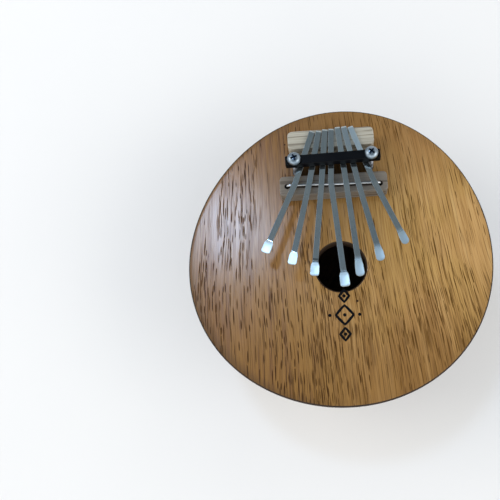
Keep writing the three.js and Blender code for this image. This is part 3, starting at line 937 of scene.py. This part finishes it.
# A tip's length, its flare, the fade of its ground finish, the radius of its round end and the depth of its
# hollow are in mm. Slope, lift and roll are in degrees. Polish says how bright the tip is ground. The rear
# share paints a highlight on the rear end with the same bright finish. The painted bend shades are dark lines
# standing in for dark reflections at the bend, in mm before the bend.
Tip = namedtuple("Tip", "length flare fade round slope lift roll hollow polish shine marks")
TIPS = (
    Tip(5.5, 1.2, 1.4, 1.2, -6.0, 8.5, -3.0, 0.06, 0.9, 0.0, ()),
    Tip(5.3, 1.6, 1.4, 1.2, 2.5, 0.0, -4.0, 0.05, 1.0, 0.0, ()),
    Tip(5.6, 1.6, 1.0, 1.2, 0.5, 0.0, -1.0, 0.05, 0.85, 0.0, (0.5, 1.9)),
    Tip(6.3, 1.8, 1.4, 1.2, 1.0, 1.0, -1.5, 0.05, 0.85, 0.0, (0.3,)),
    Tip(7.3, 4.0, 4.0, 1.7, 0.0, 1.0, -0.5, 0.03, 0.7, 0.2, ()),
    Tip(6.5, 3.6, 4.0, 1.7, 0.0, 2.0, -1.0, 0.03, 0.7, 0.35, ()),
    Tip(6.5, 3.6, 4.0, 1.7, 0.0, 2.0, -1.0, 0.03, 0.65, 0.6, ()),
)


def joint(name):
    return next(item for item in frame["joints"] if item["name"] == name)


def tine_lines(index):
    """Where a tine crosses the wire, its directions and reach back and forward, and its tip's half width."""
    pluck = joint(f"tine_{index}_pluck")
    crossing = Vector(pluck["pos_m"])
    back = Vector(joint(f"tine_{index}_tuning")["axis"])
    forward = Vector((pluck["axis"][1], -pluck["axis"][0], 0))
    shank = ((points_of(f"tine_{index}_shank") - np.array(crossing)) @ np.array(back)).max()
    front = points_of(f"tine_{index}_tongue") - np.array(crossing)
    tongue = (front @ np.array(forward)).max()
    tip_half = abs(front @ np.array(forward.cross(UP))).max()
    return crossing, back, forward, shank, tongue, tip_half


def rise_along(tongue, bend, flare, slope, lift):
    """The tongue's height above the wire, as a function of the way along it."""
    ways = np.linspace(0, tongue, 500)
    angles = []
    for way in ways:
        angle = TONGUE_RISE * smooth(-0.4 * MM, 1.2 * MM, way)
        angle += (slope - TONGUE_RISE) * smooth(bend - flare / 2, bend + flare / 2, way)
        angle += lift * smooth(bend, tongue, way)
        angles.append(math.tan(angle))
    heights = np.concatenate(([0], np.cumsum(np.diff(ways) * np.array(angles[1:]))))
    return lambda way: float(np.interp(way, ways, heights)) if way > 0 else 0.0


def tine(index):
    """One continuous strip from its cut rear end to its flared tip."""
    crossing, back, forward, shank, tongue, tip_half = tine_lines(index)
    tip = TIPS[index - 1]
    flare = tip.flare * MM
    bend = tongue - tip.length * MM
    ground_from = bend - 0.7 * flare
    end = tip.round * MM
    height_at = rise_along(tongue, bend, flare, math.radians(tip.slope), math.radians(tip.lift))
    # The rings lie closer at the cut end, round the wire, at the bend and at the round end.
    places = [-shank, -shank + 0.12 * MM, -shank + 0.3 * MM]
    for first, last, many in (
            (-shank + 1 * MM, -4 * MM, 22), (-3.5 * MM, 3.5 * MM, 15), (4 * MM, bend - 3.2 * MM, 30),
            (bend - 3 * MM, bend + 2.6 * MM, 33), (bend + 2.8 * MM, tongue - end, 8)):
        places += list(np.linspace(first, last, many))
    places += [tongue - end * (1 - math.sin(math.radians(t))) for t in (12, 24, 36, 48, 60, 70, 79, 86, 90)]
    rings, ground_and_highlight, dark = [], [], []
    for place in places:
        turn = smooth(-3 * MM, 3 * MM, place)
        centre = (crossing - back * place).lerp(crossing + forward * place, turn)
        side = (-back).lerp(forward, turn).normalized().cross(UP)
        widen = smooth(bend - 0.6 * flare, bend + 0.8 * flare, place)
        spread = 0.84 * widen + 0.16 * smooth(bend, tongue, place)
        half = TINE_HALF_WIDTH + (tip_half - TINE_HALF_WIDTH) * spread
        half += 0.012 * MM * noise.noise(Vector((place * 150, index * 3.7, 0)))
        thick = TINE_HALF_THICKNESS * (1 - 0.28 * widen)
        beyond = place - (tongue - end)
        if beyond > 0:
            half -= end - math.sqrt(max(0.0, end ** 2 - beyond ** 2))
            thick *= 1 - 0.3 * (beyond / end) ** 3
        cut = 1 - smooth(-shank, -shank + 0.3 * MM, place)
        half -= 0.12 * MM * cut
        thick -= 0.14 * MM * cut
        finish = smooth(ground_from, ground_from + tip.fade * MM, place)
        tilt = math.tan(math.radians(tip.roll)) * finish
        tilt += math.tan(SHANK_TWIST) * (1 - smooth(-2 * MM, 1 * MM, place))
        dish = smooth(bend, bend + 2.4 * MM, place) * (1 - smooth(tongue - 1.6 * MM, tongue, place))
        section = strip_section(half, thick, tip.hollow * MM * dish)
        level = height_at(place)
        rings.append([centre + side * x + UP * (level + z + tilt * x) for x, z in section])
        # Painted highlight: the rear part of the shank takes the bright finish, by the tip's rear share.
        rear = tip.shine * (1 - smooth(-0.6 * shank, -0.4 * shank, place))
        ground_and_highlight.append(max(tip.polish * finish, 0.8 * cut, rear))
        # Painted shade: dark lines just before the bend, standing in for dark reflections there.
        offs = [(place - bend + mark * MM) / PAINTED_BEND_SHADE_WIDTH for mark in tip.marks]
        dark.append(sum(0.75 * math.exp(-off ** 2) for off in offs))
    piece = new_piece(f"tine_{index}_strip_visual", *loft(rings), TINE_STEEL, body=None)
    count = len(rings[0])
    masks = {"tip": np.repeat(ground_and_highlight, count), "mark": np.repeat(dark, count)}
    # Painted shade on every point off the flat top: the strip's sides and underside.
    masks["edge"] = np.tile([float(i not in TOP_OF_SECTION) for i in range(count)], len(rings))
    for attribute, values in masks.items():
        layer = piece.data.attributes.new(attribute, "FLOAT", "POINT")
        layer.data.foreach_set("value", values.astype(np.float32))
    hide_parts(f"tine_{index}_shank", f"tine_{index}_tongue")
    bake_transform(piece)


# The section's points that lie on its flat top, by number.
TOP_OF_SECTION = range(10, 17)


def strip_section(half, thick, dish):
    """A flat strip's section with rounded edges, anticlockwise from the lower right."""
    edge = min(0.1 * MM, half * 0.4, thick * 0.45)
    inner, level = half - edge, thick - edge
    section = []
    corners = [(inner, -level, -90), (inner, level, 0), (-inner, level, 90), (-inner, -level, 180)]
    for number, (cx, cz, start) in enumerate(corners):
        for i in range(5):
            turn = math.radians(start + 22.5 * i)
            section.append((cx + edge * math.cos(turn), cz + edge * math.sin(turn)))
        if number == 1:
            for share in (0.96, 0.66, 0.33, 0, -0.33, -0.66, -0.96):
                section.append((inner * share, thick - dish * (1 - share * share)))
        if number == 3:
            section += [(inner * share, -thick) for share in (-0.5, 0, 0.5)]
    return section


# Painted motif: a plain column of lozenges and dots below the sound hole.

def motif():
    low, high = DECK - 0.02 * MM, DECK + 0.03 * MM
    column = Vector((-1.4 * MM, -29.8 * MM, 0))
    axis = Vector((0.05, 1, 0)).normalized()
    side = axis.cross(UP)

    def outline_strip(name, outline, width):
        """A closed painted line of the given width round an outline."""
        middle = sum(outline, Vector()) / len(outline)
        inner = [point + (middle - point).normalized() * width for point in outline]
        rings = []
        for edge, z in ((outline, low), (outline, high), (inner, high), (inner, low)):
            rings.append([Vector((p.x, p.y, z)) for p in edge])
        new_piece(name, *ring_torus(rings), MOTIF_BLACK, soft=False)

    def lozenge(centre, wide, tall):
        points = []
        for turn in turns_round(24):
            c, s = math.cos(turn), math.sin(turn)
            reach = 1 / (abs(c) ** 1.15 + abs(s) ** 1.15) ** (1 / 1.15)
            points.append(centre + side * (wide * reach * c) + axis * (tall * reach * s))
        return points

    def dot(name, centre, radius):
        rings = [[Vector((p.x, p.y, z)) for p in circle(radius, 20, centre)] for z in (low, high)]
        new_piece(name, *loft(rings), MOTIF_BLACK, soft=False)

    for number, (shift, wide, tall) in enumerate(((8.8, 2.9, 3.4), (0, 4.6, 5.0), (-8.8, 2.9, 3.4)), 1):
        centre = column + axis * (shift * MM)
        outline_strip(f"motif_lozenge_{number}", lozenge(centre, wide * MM, tall * MM), 1.25 * MM)
        dot(f"motif_dot_{number}", centre, 0.8 * MM)
    for number, x in enumerate((-6.8, 6.8), 4):
        dot(f"motif_dot_{number}", column + side * (x * MM), 0.75 * MM)


soundboard()
coconut_shell()
saddles()
saddle_wire()
clamp_bar()
screw("left", 20)
screw("right", 48)
for number in range(1, len(TIPS) + 1):
    tine(number)
motif()
for node, material in (("bridge_brace", BRACE_WOOD), ("nut_left", ZINC), ("nut_right", ZINC)):
    slots = frame["nodes"][node].data.materials
    slots.clear()
    slots.append(material)


# Stage, lights and camera

FLOOR_HALF = 12.0


def floor():
    signs = ((-1, -1), (1, -1), (1, 1), (-1, 1))
    corners = [(x * FLOOR_HALF, y * FLOOR_HALF, 0) for x, y in signs]
    plane = new_piece("floor", corners, [(0, 1, 2, 3)], floor_white(), body=None, soft=False)


def aimed(name, data, place, target):
    """A lamp or camera at a place, looking at a target."""
    item = placed(name, data)
    item.location = place
    item.rotation_mode = "QUATERNION"
    item.rotation_quaternion = (Vector(target) - Vector(place)).to_track_quat("-Z", "Y")
    return item


def softbox(name, place, target, size, watts, colour):
    """A rectangular lamp. Place, target and size are in metres."""
    light = bpy.data.lights.new(name, "AREA")
    light.shape = "RECTANGLE"
    light.size, light.size_y = size
    light.energy = watts
    light.color = colour
    aimed(name, light, place, target)


MIRROR_DISTANCE = 0.9


def mirrored_box(name, x, y, direction, size, watts, colour):
    """A soft box whose mirror image shows in the lacquer at x, y in mm."""
    spot = Vector((x * MM, y * MM, DECK))
    softbox(name, spot + Vector(direction) * MIRROR_DISTANCE, spot, size, watts, colour)


# Sky brightness by height, from the horizon (0) to straight up (1). It is dimmer overhead.
SKY = ((0.0, (1.0, 1.0, 1.0, 1)), (0.3, (1.5, 1.49, 1.47, 1)), (0.6, (1.5, 1.49, 1.47, 1)),
       (0.82, (0.42, 0.46, 0.48, 1)), (0.9, (0.29, 0.33, 0.35, 1)))
SKY_BEHIND_PLAYER = 1.35
SKY_PAST_BRIDGE = 0.55


def sky():
    g = Graph("studio", bpy.data.worlds, "Background")
    bpy.context.scene.world = g.owner
    y, z = g.split(g.add("TexCoord").outputs["Generated"])[1:]
    inputs = {"Value": y, "From Min": -0.7, "From Max": 0.7,
              "To Min": SKY_BEHIND_PLAYER, "To Max": SKY_PAST_BRIDGE}
    g.set(Color=g.ramp(z, *SKY), Strength=g.add("MapRange", inputs).outputs["Result"])


# The camera's aim and distance in metres, its focal length in mm and its shifts in shares of the width.
CAMERA_TARGET = Vector((-0.4 * MM, -3.7 * MM, DECK))
CAMERA_AZIMUTH, CAMERA_ELEVATION = math.radians(-5), math.radians(75)
CAMERA_DISTANCE = 0.290
CAMERA_LENS = 44.8
CAMERA_SHIFTS = (-0.184, 0.019)


def camera():
    """Looks down on the board from the player's side."""
    level = math.cos(CAMERA_ELEVATION)
    away = heading(CAMERA_AZIMUTH - TURN / 4) * level + UP * math.sin(CAMERA_ELEVATION)
    lens = bpy.data.cameras.new("camera")
    lens.lens = CAMERA_LENS
    lens.shift_x, lens.shift_y = CAMERA_SHIFTS
    lens.clip_start = 0.01
    place = CAMERA_TARGET + away * CAMERA_DISTANCE
    bpy.context.scene.camera = aimed("camera", lens, place, CAMERA_TARGET)


floor()
sky()
camera()
MIDDLE = (0, 0, 0.05)
WARM = (1.0, 0.94, 0.86)
mirrored_box("window_box", -79, 19, (-0.123, 0.319, 0.94), (0.11, 0.115), 1.25, (0.54, 0.73, 1.0))
mirrored_box("haze_box", -60, -14, (-0.182, 0.218, 0.96), (0.12, 0.16), 0.06, (0.5, 0.75, 1.0))
softbox("left_box", (-1.3, 0.3, 1.1), MIDDLE, (1.0, 1.0), 8, WARM)
softbox("right_box", (1.4, -0.6, 1.0), MIDDLE, (1.0, 1.0), 6, WARM)
bpy.context.scene.view_settings.view_transform = "Standard"
